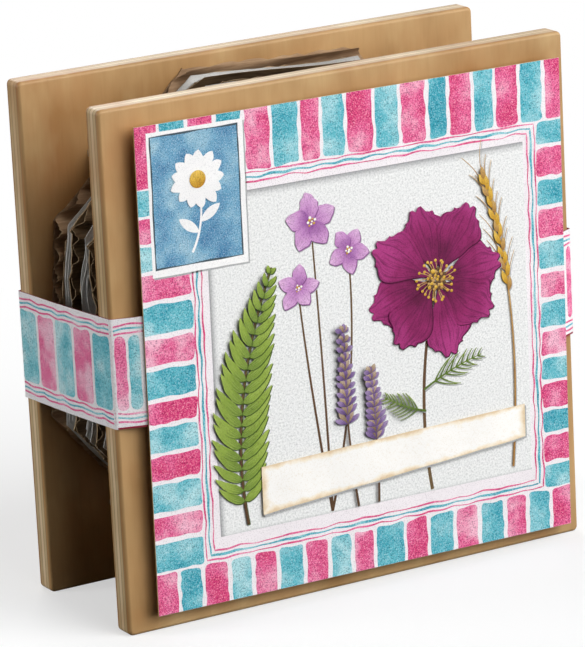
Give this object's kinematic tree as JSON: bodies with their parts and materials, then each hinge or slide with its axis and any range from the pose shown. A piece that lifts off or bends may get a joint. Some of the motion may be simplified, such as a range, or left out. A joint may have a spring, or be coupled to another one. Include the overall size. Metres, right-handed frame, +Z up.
{
  "type": "flower press",
  "caption": "Square plywood flower press: boards drawn together by coach bolts and wing nuts over octagonal corrugated card and blotting paper, with a printed card on a paper band.",
  "frame": {"origin": "under the middle of the whole press, on the surface that it stands on", "axes": "+X to the right along the front, +Y from the printed front to the wing nuts at the back, +Z up"},
  "size_m": [0.1814, 0.0892, 0.18],
  "materials": {
    "plywood": "sanded, thin clear varnish",
    "zinc_steel": "bright zinc plate",
    "corrugated_card": "raw kraft",
    "blotting_paper": "soft unsized paper",
    "printed_card": "matt print on white card",
    "printed_band": "matt print, red reverse"
  },
  "bodies": {
    "front_frame": {"front_board": "plywood", "coach_bolt_top_left": "zinc_steel", "coach_bolt_top_right": "zinc_steel", "coach_bolt_bottom_left": "zinc_steel", "coach_bolt_bottom_right": "zinc_steel", "corrugated_sheet_1": "corrugated_card", "corrugated_sheet_2": "corrugated_card", "corrugated_sheet_3": "corrugated_card", "corrugated_sheet_4": "corrugated_card", "blotting_paper_1": "blotting_paper", "blotting_paper_2": "blotting_paper", "blotting_paper_3": "blotting_paper", "blotting_paper_4": "blotting_paper", "blotting_paper_5": "blotting_paper", "blotting_paper_6": "blotting_paper"},
    "back_frame": {"back_board": "plywood", "washer_top_left": "zinc_steel", "washer_top_right": "zinc_steel", "washer_bottom_left": "zinc_steel", "washer_bottom_right": "zinc_steel"},
    "wing_nut_top_left": {"wing_nut_top_left": "zinc_steel"},
    "wing_nut_top_right": {"wing_nut_top_right": "zinc_steel"},
    "wing_nut_bottom_left": {"wing_nut_bottom_left": "zinc_steel"},
    "wing_nut_bottom_right": {"wing_nut_bottom_right": "zinc_steel"},
    "sleeve": {"belly_band": "printed_band", "front_card": "printed_card"}
  },
  "joints": [
    {"name": "press_slide", "type": "slide", "parent": "front_frame", "child": "back_frame", "axis": [0, -1, 0], "range_m": [0, 0.01225], "deforming": ["corrugated_sheet_1", "corrugated_sheet_2", "corrugated_sheet_3", "corrugated_sheet_4", "blotting_paper_1", "blotting_paper_2", "blotting_paper_3", "blotting_paper_4", "blotting_paper_5", "blotting_paper_6"]},
    {"name": "wing_nut_top_left_turn", "type": "hinge", "parent": "back_frame", "child": "wing_nut_top_left", "pos_m": [-0.062, 0.02605, 0.152], "axis": [0, -1, 0], "range_deg": [0, 4410]},
    {"name": "wing_nut_top_right_turn", "type": "hinge", "parent": "back_frame", "child": "wing_nut_top_right", "pos_m": [0.062, 0.02605, 0.152], "axis": [0, -1, 0], "range_deg": [0, 4410]},
    {"name": "wing_nut_bottom_left_turn", "type": "hinge", "parent": "back_frame", "child": "wing_nut_bottom_left", "pos_m": [-0.062, 0.02605, 0.028], "axis": [0, -1, 0], "range_deg": [0, 4410]},
    {"name": "wing_nut_bottom_right_turn", "type": "hinge", "parent": "back_frame", "child": "wing_nut_bottom_right", "pos_m": [0.062, 0.02605, 0.028], "axis": [0, -1, 0], "range_deg": [0, 4410]},
    {"name": "sleeve_slide", "type": "slide", "parent": "front_frame", "child": "sleeve", "axis": [0, 0, 1], "range_m": [0, 0.02]}
  ],
  "couplings": [
    {"joint": "wing_nut_top_left_turn", "follows": "press_slide", "rad_per_m": 6283.2},
    {"joint": "wing_nut_top_right_turn", "follows": "press_slide", "rad_per_m": 6283.2},
    {"joint": "wing_nut_bottom_left_turn", "follows": "press_slide", "rad_per_m": 6283.2},
    {"joint": "wing_nut_bottom_right_turn", "follows": "press_slide", "rad_per_m": 6283.2}
  ]
}
